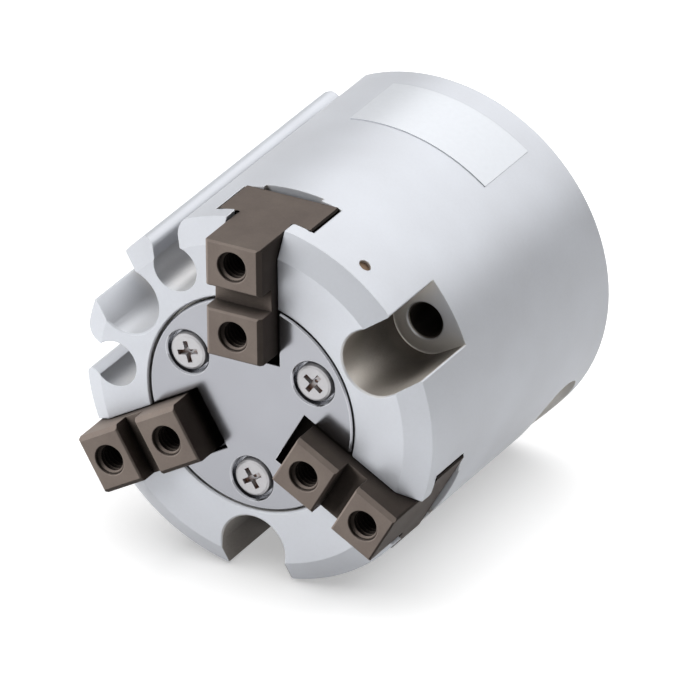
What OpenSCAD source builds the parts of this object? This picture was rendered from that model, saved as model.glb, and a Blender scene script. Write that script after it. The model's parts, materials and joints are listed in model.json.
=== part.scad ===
// Three jaw centric gripper with a round body, driven by air through a wedge cam.
// The gripper's axis is Z. The origin is the centre of the rear mounting face, and the jaws
// are at the +Z end, drawn closed. The jaws point along 0, 120 and 240 degrees, the bolt pockets
// lie between them at 60, 180 and 300, and the sensor grooves lie on each side of the -X pocket.

/* [Body] */
// Diameter of the round body
body_d = 36; // [35:0.5:38]
// Length of the body, from the rear mounting face to the front face
body_len = 35; // [34.5:0.5:38]
// Width of the front chamfer, across the radius
front_chamfer_r = 2.2; // [0.5:0.1:2.4]
// Depth of the front chamfer, along the axis
front_chamfer_z = 1.4; // [0.5:0.1:2]
// Diameter of the cylinder bore that the piston runs in
bore_d = 20; // [19.5:0.1:20]

/* [Mounting] */
// Pitch circle diameter of the three body bolts
bolt_pcd = 29.5; // [29:0.1:30]
// Diameter of the through holes for the body bolts
bolt_hole_d = 3.4; // [3.2:0.1:3.6]
// Diameter of the pockets that take the bolt heads
pocket_d = 6.5; // [6:0.1:6.8]
// Depth of the pockets below the front face
pocket_depth = 9.5; // [5:0.5:12]
// Depth of the locating bore in the rear face
pilot_depth = 1.6; // [1.2:0.1:1.6]
// Diameter of the dowel hole in the rear face
dowel_d = 2; // [1.5:0.5:2.5]

/* [Sensor grooves] */
// Diameter of the round groove that holds a sensor
groove_d = 4.5; // [4:0.1:4.6]
// Distance from the gripper's axis to the centre of a groove
groove_radius = 14.2; // [14.1:0.1:14.6]
// Angle from the pocket beside it to a groove
groove_angle = 27.3; // [26:0.1:28]
// Width of the neck through which a sensor is snapped in
groove_neck = 3.2; // [2.4:0.1:3.4]

/* [Jaws] */
// Height that the jaws stand above the front face
jaw_rise = 3; // [2:0.5:5]
// Width of a jaw's stem and blocks
jaw_w = 5.8; // [5:0.1:6]
// Width of the flange that each jaw slides on
flange_w = 9.7; // [8:0.1:9.8]
// Thickness of the flange
flange_t = 5; // [4:0.1:5.2]
// Distance from the axis to the inner tapped hole, jaws closed
inner_hole_r = 8.25; // [8:0.05:8.5]
// Distance between the two tapped holes of a jaw
hole_pitch = 7; // [6.5:0.1:7.2]
// Thread diameter of the tapped holes in the jaws
jaw_thread_d = 3; // [2.5:0.5:3]
// Length of each raised block along the jaw
block_len = 4.7; // [4.5:0.1:5]
// Depth of the gap between the two blocks
block_gap_depth = 2; // [1:0.5:2.5]

/* [Drive] */
// Stroke of the piston from jaws closed to jaws open
piston_stroke = 4; // [2:0.5:4]
// Jaw travel for each millimetre of piston travel
wedge_ratio = 0.5; // [0.4:0.05:0.5]
// Diameter of the piston rod
rod_d = 8; // [7:0.5:8]

/* [Cover] */
// Diameter of the polished cover plate
cover_d = 21; // [20.8:0.1:21]
// Thickness of the cover plate
cover_t = 1.6; // [1.4:0.1:1.6]
// Pitch circle radius of the cover screws
cover_screw_r = 7.53; // [7.4:0.01:7.7]

/* [Air ports] */
// Thread diameter of the air ports
port_thread_d = 5; // [3:1:5]
// Angle of the port that opens the jaws
open_port_angle = -8; // [-14:1:-4]
// Angle of the port that closes the jaws
close_port_angle = 248; // [244:1:254]

/* [Hidden] */
$fn = 96;
running = 0.05;                  // radial clearance of a running fit
body_r = body_d / 2;
bore_r = bore_d / 2;
jaw_angles = [0, 120, 240];
pocket_angles = [60, 180, 300];
rear_chamfer = 0.3;

// T-slots in the body, measured from the front face
lip_t = 3;                       // thickness of the lips that hold the flanges
slot_top = body_len - lip_t;
slot_bottom = slot_top - flange_t - 2 * running;
relief_depth = 0.45;             // shallow channel under the flange, for the jaw's tail
slot_w = flange_w + 0.44;
neck_w = jaw_w + 0.2;
relief_w = 6;
lip_round = 0.3;                 // rounding of the lips' inner corners
rim_chamfer = 0.15;              // broken edge round the pockets, cover recess and screw seats
mouth_r = 1.15;                  // rounding of the sensor grooves' mouths

// Cylinder, from the rear face forwards
ring_z = pilot_depth;            // retaining ring groove
ring_groove_w = 1.1;
ring_t = 1;
ring_gap = 1.8;
ring_eye_angles = [-104, -76];
ring_eye_r = 0.6;
cap_r = 10.7;
cap_z0 = ring_z + ring_groove_w;
cap_z1 = 5.5;
chamber_front = 20;              // rear face of the wall that carries the rod seal
wall_front = 23;                 // front face of that wall, floor of the cam chamber
bumper_proud_rear = 0.85;
bumper_proud_front = 0.15;
piston_z0 = cap_z1 + bumper_proud_rear + running;
piston_z1 = chamber_front - bumper_proud_front - running - piston_stroke;
rod_z1 = 23.3;

// Wedge cam
cover_z0 = body_len - cover_t;
cam_z0 = rod_z1;
cam_z1 = cover_z0 - 0.2 - piston_stroke;
cam_core_r = 5.6;
lobe_w = 7.6;
chamber_core_r = 6;
chamber_lobe_w = 8.2;
wedge_top_r = 5.2;               // radius of the inclined face at the cam's top
hook_neck_w = 3;
hook_head_w = 5;
hook_neck_t = 1.25;              // measured across the radius
hook_head_t = 1.2;
hook_top = cam_z1 + 0.8;
slot_play = 0.05;

// Jaw, closed
jaw_top = body_len + jaw_rise;
outer_hole_r = inner_hole_r + hole_pitch;
jaw_inner_r = inner_hole_r - block_len / 2;
jaw_outer_r = outer_hole_r + block_len / 2 - 0.1;
jaw_chamfer = 0.15;
block_chamfer = 0.4;             // on the long top edges of the blocks
corner_relief_r = 0.25;          // grinding relief between stem and flange
jaw_mouth = 0.06;                // countersink of the tapped holes
jaw_hole_depth = 6;
tail_r = 11;
tail_half_w = 2.9;
flange_z0 = slot_bottom + running;
flange_z1 = flange_z0 + flange_t;

// Radius of the inclined face at height z, with the jaws closed
function wedge_r(z) = wedge_top_r + wedge_ratio * (cam_z1 - z);

// Small parts
cover_recess_r = cover_d / 2 + 0.22;
cover_slot_w = jaw_w + 0.4;
cover_slot_r = jaw_inner_r - 1.25;
screw_head_r = 1.85;
screw_head_t = 1;
screw_r = 1;
screw_len = 6;
screw_turns = [23, 45, 33];      // where each cross came to rest when the screw was tight
recess_w = 2.1;
recess_t = 0.48;
recess_depth = 0.6;
seat_r = 2.14;
vent_r = 0.6;
vent_angle = 86.3;
vent_z = body_len - 3.6;
filter_len = 1.5;
port_r = port_thread_d / 2;
port_face_r = 4;
port_face_u = 17.2;              // distance from the axis to the flat around a port
port_bottom_u = 13.3;
open_port_z = 5.4;
close_port_z = 17.6;
passage_r = 0.6;
magnet_z = [7.2, 9.6];
wear_z = [10.2, 11.8];
seal_z = [12.6, 14.5];
rod_seal_z = [20.8, 22.2];
cap_groove_z = [3.5, 4.7];
bumper_r = [5.5, 7.5];
bolt_head_r = 2.75;
bolt_head_z = [6.7, 9.7];
bolt_r = 1.5;
bolt_end_z = 27.2;
bolt_seal_t = 0.9;
label_t = 0.08;
label_z = [3.2, 11.3];
label_angles = [81.8, 129.2];

// ---- shapes used by several pieces -------------------------------------------------

// Turns its children to each angle in a list
module around(angles) for (a = angles) rotate([0, 0, a]) children();

// Extrudes an outline drawn in radius and height, w wide across the jaw
module profile(w, points)
    rotate([90, 0, 0]) linear_extrude(height = w, center = true) polygon(points);

// Flat ring from z[0] to z[1]
module ring(r_in, r_out, z)
    translate([0, 0, z[0]]) difference() {
        cylinder(r = r_out, h = z[1] - z[0]);
        translate([0, 0, -1]) cylinder(r = r_in, h = z[1] - z[0] + 2);
    }

// Ring with an oval section, as a seal has when it is squeezed into its groove
module oval_ring(r_in, r_out, z)
    rotate_extrude()
        polygon([[r_in + 0.25, z[0]], [r_out - 0.25, z[0]], [r_out, z[0] + 0.3], [r_out, z[1] - 0.3],
                 [r_out - 0.25, z[1]], [r_in + 0.25, z[1]], [r_in, z[1] - 0.3], [r_in, z[0] + 0.3]]);

// Outline of the cam and of its chamber: a round core with a lobe towards each jaw
module lobed(core_r, w, reach) {
    circle(r = core_r);
    around(jaw_angles) translate([0, -w / 2]) square([reach, w]);
}

// ---- body ---------------------------------------------------------------------------

module body_blank()
    rotate_extrude() polygon([[0, 0], [body_r - rear_chamfer, 0], [body_r, rear_chamfer],
                              [body_r, body_len - front_chamfer_z],
                              [body_r - front_chamfer_r, body_len], [0, body_len]]);

// Pilot, cap seat, snap ring groove, cylinder bore and rod bore, all on the axis
module cylinder_cut() {
    translate([0, 0, -1]) cylinder(r = cap_r + running, h = cap_z1 + 1);
    translate([0, 0, ring_z]) cylinder(r = cap_r + 0.7, h = ring_groove_w);
    cylinder(r = bore_r, h = chamber_front);
    cylinder(r = rod_d / 2 + running, h = wall_front + 1);
    translate([0, 0, rod_seal_z[0]])
        cylinder(r = rod_d / 2 + 1.6, h = rod_seal_z[1] - rod_seal_z[0]);
    ring(bumper_r[0], bumper_r[1], [chamber_front - 1, chamber_front + 0.6]);
}

module t_slot_cut() {
    translate([0, -neck_w / 2, slot_top - 1]) cube([body_r + 2, neck_w, lip_t + 2]);
    for (side = [0, 1]) mirror([0, side, 0]) translate([0, neck_w / 2, slot_top])
        rotate([90, 0, 90]) linear_extrude(height = body_r + 2) difference() {
            translate([-lip_round, -lip_round]) square(2 * lip_round);
            translate([lip_round, lip_round]) circle(r = lip_round, $fn = 32);
        }
    translate([0, -slot_w / 2, slot_bottom]) cube([body_r + 2, slot_w, slot_top - slot_bottom]);
    translate([0, -relief_w / 2, slot_bottom - relief_depth])
        cube([body_r + 2, relief_w, relief_depth + 1]);
}

module cam_chamber_cut() {
    translate([0, 0, wall_front])
        linear_extrude(height = slot_bottom + 1 - wall_front)
            lobed(chamber_core_r, chamber_lobe_w, wedge_r(cam_z0) + 0.5);
    translate([0, 0, wall_front])
        linear_extrude(height = body_len - wall_front)
            lobed(chamber_core_r, chamber_lobe_w, chamber_core_r);
}

// Seat and through hole for one body bolt, open to the side and the front
module pocket_cut() {
    translate([bolt_pcd / 2, 0, body_len - pocket_depth]) {
        cylinder(d = pocket_d, h = pocket_depth + 1);
        translate([0, -pocket_d / 2, 0]) cube([body_r, pocket_d, pocket_depth + 1]);
        translate([0, 0, -0.2]) cylinder(r1 = bolt_hole_d / 2, r2 = bolt_hole_d / 2 + 0.21, h = 0.21);
        translate([0, 0, pocket_depth - rim_chamfer])
            cylinder(r1 = pocket_d / 2, r2 = pocket_d / 2 + 1, h = 1);
    }
    side_u = sqrt(body_r * body_r - pocket_d * pocket_d / 4) - rim_chamfer;
    translate([0, 0, body_len - pocket_depth]) linear_extrude(height = pocket_depth + 1)
        polygon([[side_u, -pocket_d / 2], [side_u + 2, -pocket_d / 2 - 2],
                 [side_u + 2, pocket_d / 2 + 2], [side_u, pocket_d / 2]]);
    translate([bolt_pcd / 2, 0, -1]) cylinder(d = bolt_hole_d, h = body_len);
}

// Round groove with a snap-in neck and a rounded mouth, over the whole length
module sensor_groove_cut() {
    side = groove_neck / 2 + mouth_r;
    mouth_u = sqrt(pow(body_r - mouth_r, 2) - side * side) + 0.05;
    translate([groove_radius, 0, -1]) cylinder(d = groove_d, h = body_len + 2);
    translate([groove_radius, -groove_neck / 2, -1])
        cube([mouth_u - groove_radius + 0.5, groove_neck, body_len + 2]);
    translate([mouth_u, 0, -1]) linear_extrude(height = body_len + 2) difference() {
        translate([0, -side]) square([mouth_r + 1, 2 * side]);
        for (w = [-side, side]) translate([0, w]) circle(r = mouth_r);
    }
}

// Tapped air port with a spot face, and the small passage from its end to the cylinder
module port_cut(angle, z, passage_z)
    rotate([0, 0, angle]) {
        translate([port_bottom_u, 0, z]) rotate([0, 90, 0]) cylinder(r = port_r, h = body_r);
        translate([port_face_u, 0, z]) rotate([0, 90, 0]) cylinder(r = port_face_r, h = body_r);
        translate([bore_r - 0.5, 0, passage_z])
            rotate([0, 90, 0]) cylinder(r = passage_r, h = port_bottom_u - bore_r + 1, $fn = 32);
    }

module body()
    color([0.80, 0.82, 0.85]) difference() {
        body_blank();
        cylinder_cut();
        cam_chamber_cut();
        around(jaw_angles) t_slot_cut();
        around(pocket_angles) pocket_cut();
        around([180 - groove_angle, 180 + groove_angle]) sensor_groove_cut();
        rotate_extrude()
            polygon([[0, cover_z0], [cover_recess_r, cover_z0], [cover_recess_r, body_len - rim_chamfer],
                     [cover_recess_r + 1, body_len - rim_chamfer + 1], [0, body_len - rim_chamfer + 1]]);
        around(pocket_angles) translate([cover_screw_r, 0, cover_z0 - screw_len])
            cylinder(r = screw_r + 0.02, h = screw_len + 1, $fn = 48);
        port_cut(open_port_angle, open_port_z, cap_z1 + passage_r + 0.05);
        port_cut(close_port_angle, close_port_z, chamber_front - passage_r - 0.2);
        rotate([0, 0, vent_angle]) translate([8.5, 0, vent_z])
            rotate([0, 90, 0]) cylinder(r = vent_r, h = body_r, $fn = 32);
        rotate([0, 0, 120]) translate([bolt_pcd / 2, 0, -1]) cylinder(d = dowel_d, h = 3.5, $fn = 48);
    }

// ---- cover ----------------------------------------------------------------------------

module cover_plate()
    color([0.86, 0.86, 0.88]) difference() {
        rotate_extrude() polygon([[0, cover_z0], [cover_d / 2, cover_z0],
                                  [cover_d / 2, body_len - rim_chamfer],
                                  [cover_d / 2 - rim_chamfer, body_len], [0, body_len]]);
        around(jaw_angles) translate([cover_slot_r, -cover_slot_w / 2, cover_z0 - 1])
            cube([cover_d, cover_slot_w, cover_t + 2]);
        around(pocket_angles) translate([cover_screw_r, 0, cover_z0 - 1]) {
            cylinder(r = screw_r + 0.1, h = cover_t + 2, $fn = 48);
            translate([0, 0, 1 + cover_t - screw_head_t]) cylinder(r = seat_r, h = 2, $fn = 64);
            translate([0, 0, 1 + cover_t - rim_chamfer])
                cylinder(r1 = seat_r, r2 = seat_r + 1, h = 1, $fn = 64);
        }
    }

// Pan head with a cross recess, its top level with the plate
module cover_screw(turn)
    translate([cover_screw_r, 0, body_len]) difference() {
        union() {
            rotate_extrude($fn = 64)
                polygon([[0, -screw_head_t], [screw_head_r, -screw_head_t], [screw_head_r, -0.35],
                         [screw_head_r - 0.1, -0.12], [screw_head_r - 0.3, 0], [0, 0]]);
            translate([0, 0, -cover_t - screw_len + 0.5])
                cylinder(r = screw_r, h = cover_t + screw_len - 0.5 - screw_head_t / 2, $fn = 48);
        }
        around([turn, turn + 90])
            translate([-recess_w / 2, -recess_t / 2, -recess_depth]) cube([recess_w, recess_t, 1]);
        translate([0, 0, -recess_depth - 0.2])
            cylinder(r1 = 0.1, r2 = recess_t, h = recess_depth + 0.3, $fn = 32);
    }

module cover_screws()
    color([0.9, 0.9, 0.92]) for (i = [0:2])
        rotate([0, 0, pocket_angles[i]]) cover_screw(screw_turns[i]);

// ---- jaws -----------------------------------------------------------------------------

// Inclined strip beside the wedge face, from depth a to depth b inside it
module wedge_strip(w, a, b, z0, z1)
    profile(w, [[wedge_r(z0) - b, z0], [wedge_r(z0) - a, z0], [wedge_r(z1) - a, z1],
                [wedge_r(z1) - b, z1]]);

// Plan outline of a jaw, with its outer corners broken
module jaw_plan(half_w, z0, z1)
    translate([0, 0, z0]) linear_extrude(height = z1 - z0)
        polygon([[0, -half_w], [jaw_outer_r - jaw_chamfer, -half_w],
                 [jaw_outer_r, -half_w + jaw_chamfer], [jaw_outer_r, half_w - jaw_chamfer],
                 [jaw_outer_r - jaw_chamfer, half_w], [0, half_w]]);

// Flange that slides in the T-slot; its inner end is the wedge face
module jaw_flange()
    intersection() {
        profile(flange_w, [[wedge_r(flange_z0), flange_z0], [jaw_outer_r, flange_z0],
                           [jaw_outer_r, flange_z1], [wedge_r(flange_z1), flange_z1]]);
        jaw_plan(flange_w / 2, flange_z0 - 1, flange_z1 + 1);
    }

// Section of the stem across the jaw, its top edges broken
module stem_section(z0)
    rotate([90, 0, 90]) linear_extrude(height = body_r)
        polygon([[-jaw_w / 2, z0], [jaw_w / 2, z0], [jaw_w / 2, jaw_top - block_chamfer],
                 [jaw_w / 2 - block_chamfer, jaw_top], [-jaw_w / 2 + block_chamfer, jaw_top],
                 [-jaw_w / 2, jaw_top - block_chamfer]]);

// Stem with the two blocks, seen from the side
module jaw_stem() {
    z_under_cover = cover_z0 - 0.1;
    gap_z = jaw_top - block_gap_depth;
    gap_r0 = jaw_inner_r + block_len;
    gap_r1 = outer_hole_r - block_len / 2;
    c = jaw_chamfer;
    intersection() {
        profile(jaw_w, [[wedge_r(flange_z1 - 1), flange_z1 - 1], [jaw_outer_r, flange_z1 - 1],
                        [jaw_outer_r, jaw_top - c], [jaw_outer_r - c, jaw_top], [gap_r1 + c, jaw_top],
                        [gap_r1, jaw_top - c], [gap_r1, gap_z], [gap_r0, gap_z],
                        [gap_r0, jaw_top - c], [gap_r0 - c, jaw_top], [jaw_inner_r + c, jaw_top],
                        [jaw_inner_r, jaw_top - c], [jaw_inner_r, z_under_cover],
                        [wedge_r(z_under_cover), z_under_cover]]);
        stem_section(flange_z1 - 2);
        jaw_plan(jaw_w / 2, flange_z1 - 2, jaw_top + 1);
    }
}

module jaw_hole(r)
    translate([r, 0, jaw_top - jaw_hole_depth]) {
        cylinder(d = jaw_thread_d, h = jaw_hole_depth + 1, $fn = 64);
        translate([0, 0, -0.7]) cylinder(r1 = 0.3, r2 = jaw_thread_d / 2, h = 0.71, $fn = 64);
        translate([0, 0, jaw_hole_depth - jaw_mouth])
            cylinder(r1 = jaw_thread_d / 2, r2 = jaw_thread_d / 2 + 1, h = 1, $fn = 64);
    }

// A whole jaw along +X, closed
module jaw() {
    tail_z = slot_bottom - relief_depth + running;
    difference() {
        union() {
            jaw_flange();
            jaw_stem();
            profile(2 * tail_half_w, [[wedge_r(tail_z), tail_z], [tail_r, tail_z],
                                      [tail_r, flange_z0 + 1],
                                      [wedge_r(flange_z0 + 1), flange_z0 + 1]]);
            wedge_strip(hook_neck_w, -0.2, hook_neck_t + 0.2, tail_z, hook_top);
            wedge_strip(hook_head_w, hook_neck_t, hook_neck_t + hook_head_t, tail_z, hook_top);
        }
        jaw_hole(inner_hole_r);
        jaw_hole(outer_hole_r);
        for (side = [-1, 1]) translate([0, side * jaw_w / 2, flange_z1])
            rotate([0, 90, 0]) cylinder(r = corner_relief_r, h = body_r + 1, $fn = 24);
    }
}

module jaw_1() color([0.36, 0.33, 0.31]) rotate([0, 0, jaw_angles[0]]) jaw();
module jaw_2() color([0.36, 0.33, 0.31]) rotate([0, 0, jaw_angles[1]]) jaw();
module jaw_3() color([0.36, 0.33, 0.31]) rotate([0, 0, jaw_angles[2]]) jaw();

// ---- drive ----------------------------------------------------------------------------

// The inclined face and T-slot that draw one jaw
module cam_slot_cut() {
    z0 = cam_z0 - 1;
    z1 = cam_z1 + 1;
    wedge_strip(slot_w, -6, 1.2 * slot_play, z0, z1);
    wedge_strip(hook_neck_w + 2 * slot_play, 0, hook_neck_t + 0.3, z0, z1);
    wedge_strip(hook_head_w + 2 * slot_play, hook_neck_t - slot_play,
                hook_neck_t + hook_head_t + slot_play, z0, z1);
}

module wedge_cam()
    color([0.55, 0.55, 0.57]) difference() {
        translate([0, 0, cam_z0]) linear_extrude(height = cam_z1 - cam_z0)
            lobed(cam_core_r, lobe_w, wedge_r(cam_z0));
        around(jaw_angles) cam_slot_cut();
        translate([0, 0, cam_z0 - 1]) cylinder(r = bolt_r + 0.02, h = bolt_end_z + 1.3 - cam_z0, $fn = 48);
    }

module piston()
    color([0.75, 0.76, 0.78]) difference() {
        union() {
            rotate_extrude()
                polygon([[0, piston_z0], [bore_r - 0.6, piston_z0],
                         [bore_r - running, piston_z0 + 0.4], [bore_r - running, piston_z1 - 0.4],
                         [bore_r - 0.6, piston_z1], [0, piston_z1]]);
            translate([0, 0, piston_z1 - 1]) cylinder(d = rod_d, h = rod_z1 - piston_z1 + 1);
        }
        ring(7.4, bore_r + 1, magnet_z);
        ring(9.1, bore_r + 1, wear_z);
        ring(7.9, bore_r + 1, seal_z);
        cylinder(r = bolt_r + 0.1, h = rod_z1 + 1, $fn = 48);
        translate([0, 0, piston_z0 - 1]) cylinder(r = bolt_head_r + 0.15, h = bolt_head_z[1] - piston_z0 + 1);
        translate([0, 0, bolt_head_z[1] - 1]) cylinder(r = 2.45, h = bolt_seal_t + 1);
    }

module cam_bolt()
    color([0.2, 0.2, 0.22]) difference() {
        union() {
            translate([0, 0, bolt_head_z[0]])
                cylinder(r = bolt_head_r, h = bolt_head_z[1] - bolt_head_z[0], $fn = 64);
            translate([0, 0, bolt_head_z[0] + 1])
                cylinder(r = bolt_r, h = bolt_end_z - bolt_head_z[0] - 1, $fn = 48);
        }
        translate([0, 0, bolt_head_z[0] - 1]) cylinder(r = 2.5 / sqrt(3), h = 2.4, $fn = 6);
    }

module bolt_seal()
    color([0.1, 0.1, 0.1])
        oval_ring(bolt_r + 0.02, 2.43, [bolt_head_z[1] + 0.01, bolt_head_z[1] + bolt_seal_t - 0.01]);

module piston_seal()
    color([0.1, 0.1, 0.1])
        rotate_extrude()
            polygon([[7.95, seal_z[0] + 0.05], [9.5, seal_z[0] + 0.05], [bore_r - 0.02, seal_z[0] + 0.45],
                     [9.6, seal_z[0] + 0.8], [9.6, seal_z[1] - 0.8], [bore_r - 0.02, seal_z[1] - 0.45],
                     [9.5, seal_z[1] - 0.05], [7.95, seal_z[1] - 0.05]]);

module wear_ring()
    color([0.55, 0.35, 0.25]) difference() {
        ring(9.13, bore_r - 0.03, [wear_z[0] + 0.03, wear_z[1] - 0.03]);
        rotate([0, 0, 90]) translate([5, -0.3, 0]) cube([8, 0.6, chamber_front]);
    }

module magnet_ring()
    color([0.25, 0.22, 0.2]) ring(7.45, 9.7, [magnet_z[0] + 0.03, magnet_z[1] - 0.03]);

module rod_seal()
    color([0.1, 0.1, 0.1])
        rotate_extrude()
            polygon([[rod_d / 2 + 0.02, rod_seal_z[0] + 0.05], [rod_d / 2 + 1.55, rod_seal_z[0] + 0.05],
                     [rod_d / 2 + 1.55, rod_seal_z[1] - 0.05], [rod_d / 2 + 0.4, rod_seal_z[1] - 0.05],
                     [rod_d / 2 + 0.4, rod_seal_z[0] + 0.75], [rod_d / 2 + 0.02, rod_seal_z[0] + 0.45]]);

// ---- rear end ---------------------------------------------------------------------------

module rear_cap()
    color([0.70, 0.72, 0.75]) difference() {
        translate([0, 0, cap_z0]) rotate_extrude()
            polygon([[0, 0], [cap_r - 0.2, 0], [cap_r, 0.2], [cap_r, cap_z1 - cap_z0 - 0.2],
                     [cap_r - 0.2, cap_z1 - cap_z0], [0, cap_z1 - cap_z0]]);
        ring(cap_r - 1.1, cap_r + 1, cap_groove_z);
        ring(bumper_r[0], bumper_r[1], [cap_z1 - 0.6, cap_z1 + 1]);
        translate([0, 0, cap_z0 - 1]) cylinder(r = 4.5, h = 1.4);
        translate([0, 0, cap_z0 - 1]) cylinder(r = bolt_r, h = 2.8, $fn = 48);
    }

module cap_o_ring()
    color([0.1, 0.1, 0.1])
        oval_ring(cap_r - 1.08, cap_r + 0.03, [cap_groove_z[0] + 0.03, cap_groove_z[1] - 0.03]);

// Snap ring for a bore, with its gap and the two eyes for the pliers
module retaining_ring() {
    z0 = ring_z + 0.05;
    color([0.3, 0.3, 0.32]) translate([0, 0, z0]) linear_extrude(height = ring_t) difference() {
        union() {
            difference() {
                circle(r = cap_r + 0.6);
                translate([0.35, 0]) circle(r = cap_r - 0.95);
            }
            around(ring_eye_angles) translate([cap_r - 1.75, 0]) circle(r = ring_eye_r + 0.8, $fn = 48);
        }
        translate([-ring_gap / 2, -cap_r - 2]) square([ring_gap, 6]);
        around(ring_eye_angles) translate([cap_r - 1.75, 0]) circle(r = ring_eye_r, $fn = 32);
    }
}

module rear_bumper()
    color([0.15, 0.16, 0.18])
        ring(bumper_r[0] + 0.02, bumper_r[1] - 0.02, [cap_z1 - 0.6, cap_z1 + bumper_proud_rear]);

module front_bumper()
    color([0.15, 0.16, 0.18])
        ring(bumper_r[0] + 0.02, bumper_r[1] - 0.02,
             [chamber_front - bumper_proud_front, chamber_front + 0.6]);

// ---- fittings on the side wall -----------------------------------------------------------

module exhaust_filter()
    color([0.45, 0.42, 0.42]) rotate([0, 0, vent_angle])
        translate([body_r - 0.3 - filter_len, 0, vent_z])
            rotate([0, 90, 0]) cylinder(r = vent_r - 0.01, h = filter_len, $fn = 32);

module rating_label()
    color([0.95, 0.95, 0.95]) rotate([0, 0, label_angles[0]])
        translate([0, 0, label_z[0]])
            rotate_extrude(angle = label_angles[1] - label_angles[0], $fn = 180)
                translate([body_r, 0]) square([label_t, label_z[1] - label_z[0]]);

body();
cover_plate();
cover_screws();
jaw_1();
jaw_2();
jaw_3();
wedge_cam();
piston();
cam_bolt();
bolt_seal();
piston_seal();
wear_ring();
magnet_ring();
rod_seal();
rear_cap();
cap_o_ring();
retaining_ring();
rear_bumper();
front_bumper();
exhaust_filter();
rating_label();
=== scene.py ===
# %% [markdown]
# # A three jaw centric gripper
#
# A small pneumatic gripper for a robot's wrist. A piston in a round aluminium housing pushes a wedge cam,
# and the cam draws three dark steel jaws outwards, all by the same amount. The solids were built in CAD with
# their true sizes, and this lesson dresses them: it gives each part the finish of the real metal, and adds
# what CAD leaves out, such as screw threads and the grain of a sintered filter. Lengths are in metres and
# the gripper's axis is Z, with the jaws at the top.

# %% Load the solids and measure them
import json
from math import cos, pi, radians, sin

import bmesh
import bpy
from mathutils import Matrix, Vector


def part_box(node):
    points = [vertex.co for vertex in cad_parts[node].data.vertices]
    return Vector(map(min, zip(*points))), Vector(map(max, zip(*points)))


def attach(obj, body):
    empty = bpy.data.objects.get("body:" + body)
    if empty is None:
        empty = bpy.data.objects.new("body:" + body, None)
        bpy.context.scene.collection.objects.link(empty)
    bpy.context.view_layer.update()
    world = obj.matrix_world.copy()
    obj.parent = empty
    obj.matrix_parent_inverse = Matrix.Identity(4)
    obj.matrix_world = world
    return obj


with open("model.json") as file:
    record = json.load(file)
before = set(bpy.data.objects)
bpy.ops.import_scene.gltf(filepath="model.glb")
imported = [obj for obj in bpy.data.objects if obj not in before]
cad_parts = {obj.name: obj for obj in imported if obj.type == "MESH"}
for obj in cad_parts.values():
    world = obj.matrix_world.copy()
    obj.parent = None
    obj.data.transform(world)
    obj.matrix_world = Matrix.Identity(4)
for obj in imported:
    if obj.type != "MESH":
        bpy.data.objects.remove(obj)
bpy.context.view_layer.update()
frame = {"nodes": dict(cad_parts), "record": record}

MM = 0.001
nodes = frame["nodes"]

# %% [markdown]
# ## The camera
#
# The gripper lies on its side, and a long lens looks at its front from a little over a metre away, a little
# from above. A camera can be aimed with a Track To constraint or with three Euler angles. Here its axes are
# given instead, right and up, and back follows from them, because they say exactly how the picture is
# turned and can be checked by eye.

# %% Camera
CAMERA_AT = Vector((0.164398, 0.676098, 0.857111))
CAMERA_RIGHT = Vector((0.758957, 0.426733, -0.491815))
CAMERA_UP = Vector((-0.633805, 0.657275, -0.407775))
CAMERA_BACK = CAMERA_RIGHT.cross(CAMERA_UP)
FOCAL_LENGTH, SENSOR_WIDTH = 613.6, 36      # both in mm, as Blender's lens settings are

lens = bpy.data.cameras.new("long_lens")
lens.lens = FOCAL_LENGTH
lens.sensor_width = SENSOR_WIDTH
camera = bpy.data.objects.new("camera", lens)
camera.matrix_world = (Matrix.Translation(CAMERA_AT)
                       @ Matrix((CAMERA_RIGHT, CAMERA_UP, CAMERA_BACK)).transposed().to_4x4())
bpy.context.scene.collection.objects.link(camera)
bpy.context.scene.camera = camera
print("camera stands", round(CAMERA_AT.length, 3), "m from the gripper")

# %% [markdown]
# ## Helpers for materials
#
# Paint charts and colour pickers give colours as sRGB hex values, while a shader works with linear light,
# so one function turns the first into the second. Another adds a node, sets its values and links its
# inputs, so that each material below reads as a list of what feeds what. The rest are steps that several
# materials share: a mottled colour, edges painted brighter as a highlight, shade and light painted into
# hollows, and the last links into the shader. Such paint could be laid on by hand or kept in an attribute.
# An Ambient Occlusion node is used instead, since it measures how much of the sky a point can see, and so
# finds holes and corners by itself.

# %% Colour and node helpers
MOST_TINT = 0.95                    # share of the tint in a corner that sees no sky
EDGE_TURN = 0.80                    # cosine between real and rounded normal at which an edge's painted highlight is at its full
TONE_DARK, TONE_LIGHT = 0.35, 1.0   # tones at which a mottled colour is darkest and lightest


def linear(code):
    """The linear colour, with alpha, of an sRGB hex value such as B0B3B8."""
    parts = [int(code[i:i + 2], 16) / 255 for i in (0, 2, 4)]
    return [p / 12.92 if p <= 0.04045 else ((p + 0.055) / 1.055) ** 2.4 for p in parts] + [1.0]


def direction(angle, rise=0.0):
    """The direction at an angle round the axis and a rise towards the jaws, both in degrees."""
    return Vector((cos(radians(angle)) * cos(radians(rise)), sin(radians(angle)) * cos(radians(rise)),
                   sin(radians(rise))))


def add(tree, kind, settings=(), links=()):
    """Adds a node. Settings are properties or values of its inputs, and links give an input its source. An
    input goes by its name, or by its number where names repeat: a Mix node's factor is 0 and its colours are
    6 and 7."""
    node = tree.nodes.new(kind)
    for name, value in dict(settings).items():
        if isinstance(name, int) or name in node.inputs:
            node.inputs[name].default_value = value
        else:
            setattr(node, name, value)
    for name, source in dict(links).items():
        tree.links.new(source, node.inputs[name])
    return node


def new_material(name):
    """A material with a Principled shader: returns it, its node tree, the shader and Object coordinates."""
    material = bpy.data.materials.new(name)
    material.use_nodes = True
    tree = material.node_tree
    place = add(tree, "ShaderNodeTexCoord").outputs["Object"]
    return material, tree, tree.nodes["Principled BSDF"], place


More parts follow.
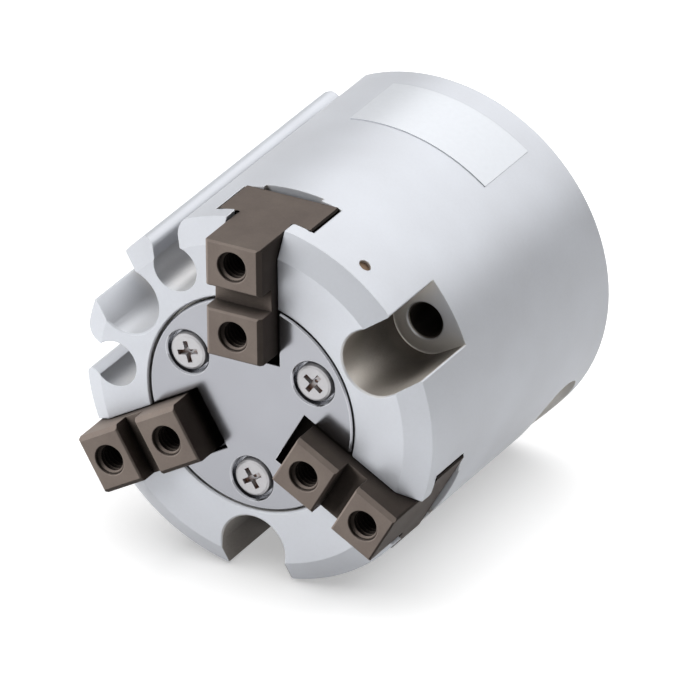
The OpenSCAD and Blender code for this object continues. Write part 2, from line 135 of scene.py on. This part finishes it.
def mottled(tree, fine, slow, fine_share, dark, light):
    """A colour that goes from dark to light as a slow noise rises, with a share of a fine noise added."""
    tone = add(tree, "ShaderNodeMath", {"operation": "MULTIPLY_ADD", 1: fine_share}, {0: fine, 2: slow})
    ramp = add(tree, "ShaderNodeValToRGB", {}, {"Fac": tone.outputs[0]})
    for stop, position, code in zip(ramp.color_ramp.elements, (TONE_DARK, TONE_LIGHT), (dark, light)):
        stop.position, stop.color = position, linear(code)
    return ramp.outputs["Color"]


def brighten_edges(tree, colour, soft_edge, bright, flat, most):
    """Mixes in a brighter colour, a painted highlight, along the edges, where the Bevel node's normal
    leaves the surface's own.
    """
    surface = add(tree, "ShaderNodeNewGeometry")
    same = add(tree, "ShaderNodeVectorMath", {"operation": "DOT_PRODUCT"},
               {0: soft_edge, 1: surface.outputs["Normal"]})
    edge = add(tree, "ShaderNodeMapRange",
               {"From Min": flat, "From Max": EDGE_TURN, "To Min": 0.0, "To Max": most},
               {"Value": same.outputs["Value"]})
    mixed = add(tree, "ShaderNodeMix", {"data_type": "RGBA", 7: linear(bright)},
                {0: edge.outputs[0], 6: colour})
    return mixed.outputs[2]


def tint_hollows(tree, colour, tint, reach, shut, clear, share=None, own=True):
    """Mixes a tint into a colour where little of the sky within reach is seen: none where the clear part of
    it is seen, and most where only the shut part is. Below it paints shade into some hollows, light into
    others.
    A share thins the tint, where one is given. Own says that only the part itself hides the sky from it, and
    not its neighbours."""
    sky = add(tree, "ShaderNodeAmbientOcclusion", {"Distance": reach, "samples": 8, "only_local": own})
    amount = add(tree, "ShaderNodeMapRange",
                 {"From Min": shut, "From Max": clear, "To Min": MOST_TINT, "To Max": 0.0},
                 {"Value": sky.outputs["AO"]})
    if share:
        amount = add(tree, "ShaderNodeMath", {"operation": "MULTIPLY"}, {0: amount.outputs[0], 1: share})
    mixed = add(tree, "ShaderNodeMix", {"data_type": "RGBA", 7: linear(tint)},
                {0: amount.outputs[0], 6: colour})
    return mixed.outputs[2]


def surface_of(tree, shader, colour, soft_edge, rough, relief):
    """Links a shader up. Rough is its lowest and highest roughness and the noise that moves between them, and
    relief is the strength and depth of its bumps and the noise that raises them."""
    low, high, rough_noise = rough
    strength, depth, relief_noise = relief
    matt = add(tree, "ShaderNodeMapRange", {"To Min": low, "To Max": high}, {"Value": rough_noise})
    bump = add(tree, "ShaderNodeBump", {"Strength": strength, "Distance": depth},
               {"Height": relief_noise, "Normal": soft_edge})
    tree.links.new(colour, shader.inputs["Base Color"])
    tree.links.new(matt.outputs[0], shader.inputs["Roughness"])
    tree.links.new(bump.outputs[0], shader.inputs["Normal"])


def wear(node_name, material):
    """Gives a CAD part its finish."""
    part = nodes[node_name]
    part.data.materials.clear()
    part.data.materials.append(material)


print("light grey B0B3B8 is", [round(c, 3) for c in linear("B0B3B8")[:3]], "in linear light")

# %% [markdown]
# ## Satin hard-anodised aluminium
#
# The housing is turned and milled from 6061 aluminium, bead blasted and anodised. The eye sees a cool grey
# metal with a broad, soft highlight, and no clear reflection, because the blasted grain scatters it. Two
# noises give that: a fine one for the grain, which is drawn at 0.3 mm since the real 0.05 mm is too fine to
# show, and a slow one for the slight cloudiness of the oxide. The blasted oxide coat scatters part of the
# light before it reaches the metal, so the shader is metallic only in part, with a weak specular level. The
# Bevel node rounds the look of each edge, and where its normal leaves the surface's own the edge is painted
# a little brighter, partly for the tumbled wear and partly as a painted highlight.
#
# Light and shade are also painted into the colour. A paler, warmer colour lifts all the grooves and
# recesses, as painted light. Two of the bolt pockets, at 60 and 300 degrees, get a warm grey-brown tint on
# their walls, also painted light, and painted shade: a dark brown that fills their depths and the bolt holes
# below them, with only a trace of it in recesses elsewhere. Object coordinates say where those pockets are.
# Their floors are left out.

# %% Body aluminium
GRAIN = 0.3 * MM
CLOUD = 9 * MM
TUMBLED = 0.14 * MM                 # radius of the rounded edges, and of their painted highlight
# Reaches of the painted light in all hollows, of the tint and of the painted shade in two pockets, and that
# painted shade's share outside and inside them
LIFT_REACH, POCKET_TINT_REACH, POCKET_SHADE_REACH = 3 * MM, 10 * MM, 8 * MM
SHADE_TRACE, SHADE_FULL = 0.03, 0.9
PAINTED_POCKETS = (60, 300)
POCKET_MIDDLE, POCKET_HALF_DEPTH = 14.45 * MM, 3.2 * MM     # out from the axis, to just under the skin
POCKET_HALF_WIDTH = 3.3 * MM
POCKET_FLOOR, FLOOR_BAND = 25.5 * MM, 0.1 * MM      # height of the floor, and what counts as floor


def in_pocket(tree, place, angle):
    """A value that is 1 inside the outline of the bolt pocket at an angle, at any height, and 0 elsewhere."""
    near = []
    for turned, middle, half in ((angle, POCKET_MIDDLE, POCKET_HALF_DEPTH),
                                 (angle + 90, 0.0, POCKET_HALF_WIDTH)):
        along = add(tree, "ShaderNodeVectorMath", {"operation": "DOT_PRODUCT", 1: direction(turned)},
                    {0: place})
        near.append(add(tree, "ShaderNodeMath", {"operation": "COMPARE", 1: middle, 2: half},
                        {0: along.outputs["Value"]}))
    return add(tree, "ShaderNodeMath", {"operation": "MULTIPLY"},
               {0: near[0].outputs[0], 1: near[1].outputs[0]}).outputs[0]


body_aluminium, tree, shader, place = new_material("satin_hard_anodised_aluminium")
grain = add(tree, "ShaderNodeTexNoise", {"Scale": 1 / GRAIN, "Detail": 3.0}, {"Vector": place}).outputs["Fac"]
cloud = add(tree, "ShaderNodeTexNoise", {"Scale": 1 / CLOUD, "Detail": 2.0}, {"Vector": place}).outputs["Fac"]
colour = mottled(tree, grain, cloud, 0.35, "B8BABF", "C4C7CD")
soft_edge = add(tree, "ShaderNodeBevel", {"Radius": TUMBLED, "samples": 4}).outputs["Normal"]
# Painted highlight, with some tumbled wear: the edges in a paler grey.
edge_lit = brighten_edges(tree, colour, soft_edge, "DDE0E4", 0.97, 0.8)
height = add(tree, "ShaderNodeSeparateXYZ", {}, {0: place}).outputs["Z"]
floor = add(tree, "ShaderNodeMath", {"operation": "COMPARE", 1: POCKET_FLOOR, 2: FLOOR_BAND}, {0: height})
pocket = add(tree, "ShaderNodeMath", {"operation": "ADD"},
             {i: in_pocket(tree, place, angle) for i, angle in enumerate(PAINTED_POCKETS)}).outputs[0]
painted_walls = add(tree, "ShaderNodeMath", {"operation": "GREATER_THAN"}, {0: pocket, 1: floor.outputs[0]})
shade_share = add(tree, "ShaderNodeMapRange", {"To Min": SHADE_TRACE, "To Max": SHADE_FULL},
                 {"Value": painted_walls.outputs[0]})
# Painted light: a paler, warmer colour lifts every groove and recess.
recess_lifted = tint_hollows(tree, edge_lit, "E8E4DE", LIFT_REACH, 0.6, 0.95)
# Painted light: a warm grey-brown tint on the walls of the pockets at 60 and 300 degrees.
pocket_tinted = tint_hollows(tree, recess_lifted, "C6BFB6", POCKET_TINT_REACH, 0.80, 0.99, painted_walls.outputs[0])
# Painted shade: dark brown deep in those pockets and their bolt holes, and a trace in other recesses.
pocket_shaded = tint_hollows(tree, pocket_tinted, "2A1E14", POCKET_SHADE_REACH, 0.30, 0.74, shade_share.outputs[0], own=False)
surface_of(tree, shader, pocket_shaded, soft_edge, (0.40, 0.50, grain), (0.25, 0.01 * MM, grain))
shader.inputs["Metallic"].default_value = 0.6
shader.inputs["Specular IOR Level"].default_value = 0.3
wear("body", body_aluminium)
print("body grain", GRAIN / MM, "mm, clouds", CLOUD / MM, "mm")

# %% [markdown]
# ## Polished stainless cover
#
# The round plate between the jaws is 304 stainless strip with its mill polish. It mirrors, but softly: the
# jaws show in it as dark smears. A low roughness with a faint noise gives that, and very fine straight
# rolling lines, 0.12 mm apart, stretch the reflections a little. Its punched edges are painted brighter, as a
# highlight.

# %% Cover stainless
LINES = 0.12 * MM
LINE_STRETCH = 0.04                 # a line is 1 / 0.04 = 25 times as long as it is wide
POLISH = 4 * MM                     # size of the patches that took the polish a little better or worse
HIGHLIT_EDGE = 0.12 * MM               # radius of the rounded edges and of their painted highlight

cover_stainless, tree, shader, place = new_material("polished_stainless_strip")
stretched = add(tree, "ShaderNodeMapping", {"Scale": (1.0, LINE_STRETCH, 1.0)}, {"Vector": place}).outputs[0]
rolled = add(tree, "ShaderNodeTexNoise", {"Scale": 1 / LINES, "Detail": 2.0}, {"Vector": stretched})
cloud = add(tree, "ShaderNodeTexNoise", {"Scale": 1 / POLISH, "Detail": 3.0}, {"Vector": place})
cloud = cloud.outputs["Fac"]
colour = add(tree, "ShaderNodeMix", {"data_type": "RGBA", 6: linear("8B8C91"), 7: linear("939499")},
             {0: cloud})
soft_edge = add(tree, "ShaderNodeBevel", {"Radius": HIGHLIT_EDGE, "samples": 4}).outputs["Normal"]
# Painted highlight: the edges in a pale grey.
edge_lit = brighten_edges(tree, colour.outputs[2], soft_edge, "E4E5E8", 0.97, 0.9)
surface_of(tree, shader, edge_lit, soft_edge, (0.14, 0.24, cloud), (0.05, 0.004 * MM, rolled.outputs["Fac"]))
shader.inputs["Metallic"].default_value = 1.0
wear("cover_plate", cover_stainless)
print("cover lines", LINES / MM, "mm apart")

# %% [markdown]
# ## Dark jaw steel
#
# The jaws are milled from alloy steel, hardened, ground and coated with a brown-black manganese phosphate.
# The coat hides the metal, so it is not metallic to the eye: it is a dark, warm grey with a dull sheen,
# finely crystalline, and its sharp edges are painted lighter, partly for wear and partly as a painted
# highlight. The porous crystals break a reflection up. The specular level is far below its usual 0.5, and
# below what a real coat would need, because this room is brighter in mirrors than on matt surfaces and would
# turn the jaws' dark sides grey. Painted shade makes the tapped holes and the gaps between the blocks look
# almost black.

# %% Jaw steel
CRYSTALS = 0.25 * MM                # coarser than the real ones, which are too fine to show
PATCHES = 3 * MM                    # where the coat came out a little darker or lighter
GROUND_EDGE = 0.08 * MM             # radius of the broken edges
JAW_SHADE_REACH = 2.5 * MM

jaw_steel, tree, shader, place = new_material("phosphated_tool_steel")
crystal = add(tree, "ShaderNodeTexNoise", {"Scale": 1 / CRYSTALS, "Detail": 3.0}, {"Vector": place})
crystal = crystal.outputs["Fac"]
cloud = add(tree, "ShaderNodeTexNoise", {"Scale": 1 / PATCHES, "Detail": 2.0}, {"Vector": place})
colour = mottled(tree, crystal, cloud.outputs["Fac"], 0.4, "7A6F69", "8B8078")
soft_edge = add(tree, "ShaderNodeBevel", {"Radius": GROUND_EDGE, "samples": 4}).outputs["Normal"]
# Partly wear, partly painted highlight: the edges in a lighter brown-grey.
edge_lit = brighten_edges(tree, colour, soft_edge, "A39A94", 0.96, 0.9)
# Painted shade: near black in the tapped holes and between the blocks.
jaw_shaded = tint_hollows(tree, edge_lit, "070504", JAW_SHADE_REACH, 0.45, 0.9, own=False)
surface_of(tree, shader, jaw_shaded, soft_edge, (0.42, 0.58, crystal), (0.2, 0.006 * MM, crystal))
shader.inputs["Metallic"].default_value = 0.0
shader.inputs["Specular IOR Level"].default_value = 0.03
for jaw in ("jaw_1", "jaw_2", "jaw_3"):
    wear(jaw, jaw_steel)
print("jaw crystals", CRYSTALS / MM, "mm")

# %% [markdown]
# ## Nickel plated screws
#
# The three cover screws are small and dully bright. Their cross, where a driver sits, is mixed to a darker
# brown with a short reach, so that only the cross takes it. Real plating is all metal. Here the shader is
# metallic only in part, because the key lamp further down lights matt surfaces only, and the heads should
# have their share of it.

# %% Screw steel
PLATING = 0.35 * MM                 # size of its unevenness
ROLLED_EDGE = 0.08 * MM             # radius of the head's edges
CROSS_REACH = 0.5 * MM

screw_steel, tree, shader, place = new_material("nickel_plated_steel")
plating = add(tree, "ShaderNodeTexNoise", {"Scale": 1 / PLATING, "Detail": 2.0}, {"Vector": place})
plating = plating.outputs["Fac"]
colour = add(tree, "ShaderNodeMix", {"data_type": "RGBA", 6: linear("AAA9AB"), 7: linear("B6B5B7")},
             {0: plating})
# A darker brown in the cross recess.
cross_darkened = tint_hollows(tree, colour.outputs[2], "84522C", CROSS_REACH, 0.2, 0.75)
soft_edge = add(tree, "ShaderNodeBevel", {"Radius": ROLLED_EDGE, "samples": 4}).outputs["Normal"]
surface_of(tree, shader, cross_darkened, soft_edge, (0.34, 0.46, plating), (0.1, 0.002 * MM, plating))
shader.inputs["Metallic"].default_value = 0.6
wear("cover_screws", screw_steel)
print("screws wear", screw_steel.name)

# %% [markdown]
# ## The plainer metals, rubbers and plastics
#
# The other parts share one recipe: a base colour that a noise shifts slightly, a roughness that the same
# noise moves, and a fine bump. A table gives each its own values, so a reader can compare them: ground cam
# steel is a bright metal, nitrile rubber is black and dull, and sintered bronze is warm and rough. The
# rating label is a silvered foil, and it is left blank.

# %% A table of finishes
FINE_EDGE = 0.06 * MM               # radius of the broken edges
FINE_RELIEF = 0.3                   # strength of the bumps
FINISHES = {
    # nodes: (what it is, darker, lighter, metallic, roughness low, high, grain in mm, bump in mm)
    ("wedge_cam",): ("ground_hardened_steel", "8C8C90", "A2A2A6", 1.0, 0.22, 0.34, 0.15, 0.003),
    ("piston",): ("turned_clear_anodised_aluminium", "B4B6BA", "C6C8CC", 1.0, 0.24, 0.36, 0.20, 0.004),
    ("cam_bolt",): ("black_oxide_bolt_steel", "2A2A2C", "3A3A3D", 0.6, 0.35, 0.50, 0.15, 0.003),
    ("bolt_seal", "piston_seal", "rod_seal", "cap_o_ring"):
        ("moulded_nitrile_rubber", "151516", "222224", 0.0, 0.45, 0.65, 0.30, 0.006),
    ("wear_ring",): ("filled_ptfe_resin", "6A5A3E", "7C6B4C", 0.0, 0.35, 0.50, 0.25, 0.004),
    ("magnet_ring",): ("bonded_ferrite", "2C2B2D", "3B3A3D", 0.1, 0.55, 0.75, 0.25, 0.008),
    ("rear_cap",): ("turned_anodised_aluminium", "A9ACB1", "BCBFC4", 0.9, 0.28, 0.40, 0.25, 0.004),
    ("retaining_ring",): ("phosphated_spring_steel", "35322F", "4A4642", 0.4, 0.38, 0.52, 0.20, 0.004),
    ("rear_bumper", "front_bumper"): ("cast_urethane", "8A6A28", "A07E38", 0.0, 0.30, 0.45, 0.40, 0.004),
    ("exhaust_filter",): ("sintered_bronze", "5A4638", "86705A", 0.7, 0.45, 0.70, 0.12, 0.030),
    ("rating_label",): ("silvered_polyester_foil", "C8CBD0", "D0D3D8", 0.5, 0.34, 0.42, 0.50, 0.001),
}
for wearers, (name, dark, light, metallic, low, high, grain_mm, bump_mm) in FINISHES.items():
    material, tree, shader, place = new_material(name)
    grain = add(tree, "ShaderNodeTexNoise", {"Scale": 1 / (grain_mm * MM), "Detail": 3.0}, {"Vector": place})
    grain = grain.outputs["Fac"]
    colour = add(tree, "ShaderNodeMix", {"data_type": "RGBA", 6: linear(dark), 7: linear(light)},
                 {0: grain})
    soft_edge = add(tree, "ShaderNodeBevel", {"Radius": FINE_EDGE, "samples": 4}).outputs["Normal"]
    surface_of(tree, shader, colour.outputs[2], soft_edge, (low, high, grain),
               (FINE_RELIEF, bump_mm * MM, grain))
    shader.inputs["Metallic"].default_value = metallic
    for node_name in wearers:
        wear(node_name, material)
bare = [name for name, part in nodes.items() if not part.data.materials]
print(len(FINISHES), "plainer finishes;", len(bare), "parts left bare")

# %% [markdown]
# ## Threads in the tapped holes
#
# Each jaw has two M3 holes and the body has two M5 air ports. CAD leaves them as plain bores at the thread's
# major diameter. A thread is a ridge that winds round the bore. It could be drawn with a Screw modifier, but
# the spin operator does the same in one step when it is also given a shift for each step of the turn: a
# four-cornered ridge profile goes in, and a helical ridge comes out. The ridge starts a turn outside the
# hole and is cut off flat, so that it runs out the way a real one does. In the jaws the cut lies a little
# way down, so that the mouths of the holes are smooth.

# %% Thread ridges
STEPS = 28                          # facets in each turn
BITE = 0.015 * MM                   # how far a ridge reaches into the bore's wall, so that no gap shows
RIDGE = 0.54                        # height of the ridge, as a share of the pitch
M3_PITCH, M5_PITCH = 0.5 * MM, 0.8 * MM
JAW_RIDGE, PORT_RIDGE = 5.2 * MM, 4.0 * MM          # lengths that the ridges are wound for
SMOOTH_MOUTH = 0.35 * MM            # how far below the jaws' tops the ridges start
PORT_MOUTH = 17.19 * MM             # just inside the flat round each port, 17.2 mm from the axis
SAME = 1e-7                         # corners closer than this, in metres, are one corner


def cut_ridge(mesh, mouth, inwards, radius, pitch, length):
    """Winds an internal thread's ridge into a hole, from a turn outside the middle of its mouth."""
    centre = mouth - inwards * pitch
    side = inwards.orthogonal().normalized()
    crest = radius - RIDGE * pitch
    # Each corner of the profile: its radius, and how far it lies along one pitch
    profile = [(radius + BITE, 0.06), (crest, 0.44), (crest, 0.56), (radius + BITE, 0.94)]
    corners = [mesh.verts.new(centre + side * r + inwards * pitch * along) for r, along in profile]
    face = mesh.faces.new(corners)
    turns = int(length / pitch)
    bmesh.ops.spin(mesh, geom=[face] + list(face.edges) + corners, cent=centre, axis=inwards,
                   dvec=inwards * pitch / STEPS, angle=2 * pi * turns, steps=STEPS * turns)
    return turns


def trim(mesh, mouth, outwards):
    """Cuts off what stands outside the holes' mouths and closes the cut."""
    cut = bmesh.ops.bisect_plane(mesh, geom=mesh.verts[:] + mesh.edges[:] + mesh.faces[:], plane_co=mouth,
                                 plane_no=outwards, clear_outer=True)
    bmesh.ops.edgenet_fill(mesh, edges=[e for e in cut["geom_cut"] if isinstance(e, bmesh.types.BMEdge)])


def finished(mesh, name, body, material):
    """Turns a bmesh into an object that rides on a body, with its faces outwards and its finish on."""
    bmesh.ops.remove_doubles(mesh, verts=mesh.verts, dist=SAME)
    bmesh.ops.recalc_face_normals(mesh, faces=mesh.faces)
    data = bpy.data.meshes.new(name)
    mesh.to_mesh(data)
    mesh.free()
    data.materials.append(material)
    piece = bpy.data.objects.new(name, data)
    bpy.context.scene.collection.objects.link(piece)
    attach(piece, body)


mounts = {mount["name"]: mount for mount in frame["record"]["mounts"]}
thread_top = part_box("jaw_1")[1].z - SMOOTH_MOUTH
for jaw in ("jaw_1", "jaw_2", "jaw_3"):
    mesh = bmesh.new()
    for hole in ("inner", "outer"):
        mount = mounts[f"{jaw}_{hole}_thread"]
        x, y, _ = mount["pos_m"]
        mouth, up = Vector((x, y, thread_top)), Vector(mount["axis"])
        turns = cut_ridge(mesh, mouth, -up, mount["dims"]["r_mm"] * MM, M3_PITCH, JAW_RIDGE)
    trim(mesh, mouth, up)
    finished(mesh, f"{jaw}_threads", f"{jaw}_unit", jaw_steel)
print("jaw threads have", turns, "turns each")

for port in ("open_port", "close_port"):
    mount = mounts[port]
    outward = Vector(mount["axis"]).normalized()
    mouth = outward * PORT_MOUTH + Vector((0, 0, mount["pos_m"][2]))
    mesh = bmesh.new()
    turns = cut_ridge(mesh, mouth, -outward, mount["dims"]["r_mm"] * MM, M5_PITCH, PORT_RIDGE)
    trim(mesh, mouth, outward)
    finished(mesh, f"{port}_thread", "housing", body_aluminium)
print("port threads have", turns, "turns each")

# %% [markdown]
# ## Floor and light
#
# A white table carries the gripper, which lies on its round side, so the table touches the housing along one
# line and stands parallel to the axis. It keeps the gripper's shadow. Seen from behind it is clear, so that
# views from below show the gripper too.
#
# In a real studio, white cards and black flags decide what metal mirrors. Here the Light Path node does
# their work, so table and room differ with who looks. The table glows a little to the camera, so that with
# its lamp it is as white as the background, and it glows in mirror reflections, less towards the rear. It
# throws little light back on matt surfaces, or they would lose their shading. The room is white to the
# camera, brighter in mirrors on one side than on the other, and dim to matt surfaces.
#
# Three lamps do the rest. A large softbox hangs over the gripper, towards its rear. Only reflections see it,
# and it gives the broad highlight along the housing. The key lamp stands in front of the jaws, to one side
# and above, and shades the gripper's matt surfaces without a reflection of its own. The overhead lamp lights
# the table alone and sets how dark the shadow is. So each of the three can be balanced by itself.

# %% What is white to the camera and to metal
def seen_white(tree, to_camera, to_metal):
    """A strength for camera rays, the to_metal output for rays that mirror or pass through, 0 for others."""
    rays = add(tree, "ShaderNodeLightPath")
    mirrors = add(tree, "ShaderNodeMath", {"operation": "MAXIMUM"},
                  {0: rays.outputs["Is Glossy Ray"], 1: rays.outputs["Is Transmission Ray"]})
    direct = add(tree, "ShaderNodeMath", {"operation": "LESS_THAN", 1: 0.5},
                 {0: rays.outputs["Diffuse Depth"]})
    pale = add(tree, "ShaderNodeMath", {"operation": "MULTIPLY"},
               {0: mirrors.outputs[0], 1: direct.outputs[0]})
    pale = add(tree, "ShaderNodeMath", {"operation": "MULTIPLY"}, {0: pale.outputs[0], 1: to_metal})
    white = add(tree, "ShaderNodeMath", {"operation": "MULTIPLY", 1: to_camera},
                {0: rays.outputs["Is Camera Ray"]})
    both = add(tree, "ShaderNodeMath", {"operation": "MAXIMUM"}, {0: pale.outputs[0], 1: white.outputs[0]})
    return both.outputs[0]


# %% Table
TABLE_ANGLE = 300                           # where the table touches the housing, round the axis
TABLE_HALF = 1.2                            # half its side, in metres
GLOW_FROM, GLOW_TO = -20 * MM, 80 * MM      # from here to there, along the axis, its glow in metal rises
GLOW_REAR, GLOW_FRONT, GLOW_TO_CAMERA = 0.34, 0.8, 0.42
PAPER, PAPER_BOUNCE = 0.8, 0.08             # how pale it is, and how pale to rays that leave a matt surface

table_out = direction(TABLE_ANGLE)
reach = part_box("body")[1].x

table_mesh = bmesh.new()
bmesh.ops.create_grid(table_mesh, x_segments=1, y_segments=1, size=TABLE_HALF)
bmesh.ops.rotate(table_mesh, verts=table_mesh.verts, matrix=(-table_out).to_track_quat("Z", "Y").to_matrix())
bmesh.ops.translate(table_mesh, verts=table_mesh.verts, vec=table_out * reach)
table_data = bpy.data.meshes.new("table")
table_mesh.to_mesh(table_data)
table_mesh.free()
table = bpy.data.objects.new("table", table_data)
bpy.context.scene.collection.objects.link(table)

white = bpy.data.materials.new("white_table")
white.use_nodes = True
white.cycles.emission_sampling = "NONE"
tree = white.node_tree
tree.nodes.clear()
side = add(tree, "ShaderNodeNewGeometry")
place = add(tree, "ShaderNodeTexCoord").outputs["Object"]
along = add(tree, "ShaderNodeSeparateXYZ", {}, {0: place}).outputs["Z"]
front = add(tree, "ShaderNodeMapRange",
            {"From Min": GLOW_FROM, "From Max": GLOW_TO, "To Min": GLOW_REAR, "To Max": GLOW_FRONT},
            {"Value": along})
rays = add(tree, "ShaderNodeLightPath")
bounce = add(tree, "ShaderNodeMapRange", {"To Min": PAPER, "To Max": PAPER_BOUNCE},
             {"Value": rays.outputs["Is Diffuse Ray"]})
paper = add(tree, "ShaderNodeBsdfDiffuse", {}, {"Color": bounce.outputs[0]})
glow = add(tree, "ShaderNodeEmission", {"Color": (1, 1, 1, 1)},
           {"Strength": seen_white(tree, GLOW_TO_CAMERA, front.outputs[0])})
both = add(tree, "ShaderNodeAddShader", {}, {0: paper.outputs[0], 1: glow.outputs[0]})
clear = add(tree, "ShaderNodeBsdfTransparent")
pick = add(tree, "ShaderNodeMixShader", {},
           {0: side.outputs["Backfacing"], 1: both.outputs[0], 2: clear.outputs[0]})
add(tree, "ShaderNodeOutputMaterial", {}, {"Surface": pick.outputs[0]})
table_data.materials.append(white)
print("the table touches the housing", round(reach / MM, 2), "mm from the axis")

# %% World
ROOM_DARK, ROOM_LIGHT = 0.0, 0.25           # the room's light on matt surfaces, on its dark and bright side
MIRROR_DARK, MIRROR_LIGHT = 0.8, 1.5        # the same room, as metal mirrors it
BRIGHT_SIDE, MIRRORED_SIDE = direction(195, 25), direction(190, 30)
BRIGHT_AT = 0.9                             # at this cosine to the bright side the room is at its brightest


def brightness(tree, towards, dark_at, dark, light):
    """A brightness that rises as the view turns towards a side, and is dark up to the cosine dark_at."""
    view = add(tree, "ShaderNodeTexCoord").outputs["Generated"]
    facing = add(tree, "ShaderNodeVectorMath", {"operation": "DOT_PRODUCT", 1: towards}, {0: view})
    return add(tree, "ShaderNodeMapRange",
               {"From Min": dark_at, "From Max": BRIGHT_AT, "To Min": dark, "To Max": light},
               {"Value": facing.outputs["Value"]}).outputs[0]


world = bpy.data.worlds.new("studio")
bpy.context.scene.world = world
world.use_nodes = True
tree = world.node_tree
room = brightness(tree, BRIGHT_SIDE, dark_at=-0.1, dark=ROOM_DARK, light=ROOM_LIGHT)
mirrored = brightness(tree, MIRRORED_SIDE, dark_at=-0.2, dark=MIRROR_DARK, light=MIRROR_LIGHT)
strength = add(tree, "ShaderNodeMath", {"operation": "MAXIMUM"},
               {0: seen_white(tree, 1.0, mirrored), 1: room})
background = tree.nodes["Background"]
background.inputs["Color"].default_value = (1, 1, 1, 1)
tree.links.new(strength.outputs[0], background.inputs["Strength"])
print("the room gives matt surfaces", ROOM_DARK, "to", ROOM_LIGHT, "of white")

# %% Lamps
AWAY = 0.9                                  # distance of every lamp from the gripper


def lamp(name, angle, rise, size, glow, lights=None):
    """A square lamp that looks at the gripper, glow times as bright as white, for some objects or for all."""
    light = bpy.data.lights.new(name, "AREA")
    light.size = size
    light.energy = glow * pi * size ** 2
    stand = bpy.data.objects.new(name, light)
    stand.location = direction(angle, rise) * AWAY
    stand.rotation_euler = direction(angle, rise).to_track_quat("Z", "Y").to_euler()
    stand.visible_camera = False
    if lights:
        stand.light_linking.receiver_collection = bpy.data.collections.new(name + "_lights")
        for lit in lights:
            stand.light_linking.receiver_collection.objects.link(lit)
    bpy.context.scene.collection.objects.link(stand)
    print(name, "gives", round(light.energy, 2), "W")
    return stand


gripper = [thing for thing in bpy.context.scene.objects if thing.type == "MESH" and thing != table]
softbox = lamp("softbox", angle=104, rise=-30, size=1.4, glow=1.75)
softbox.visible_diffuse = False
key = lamp("key", angle=176, rise=39, size=0.5, glow=12.5, lights=gripper)
key.visible_glossy = False
lamp("overhead", angle=115, rise=0, size=1.8, glow=2.1, lights=[table])

# %% Colour management
bpy.context.scene.view_settings.view_transform = "Standard"
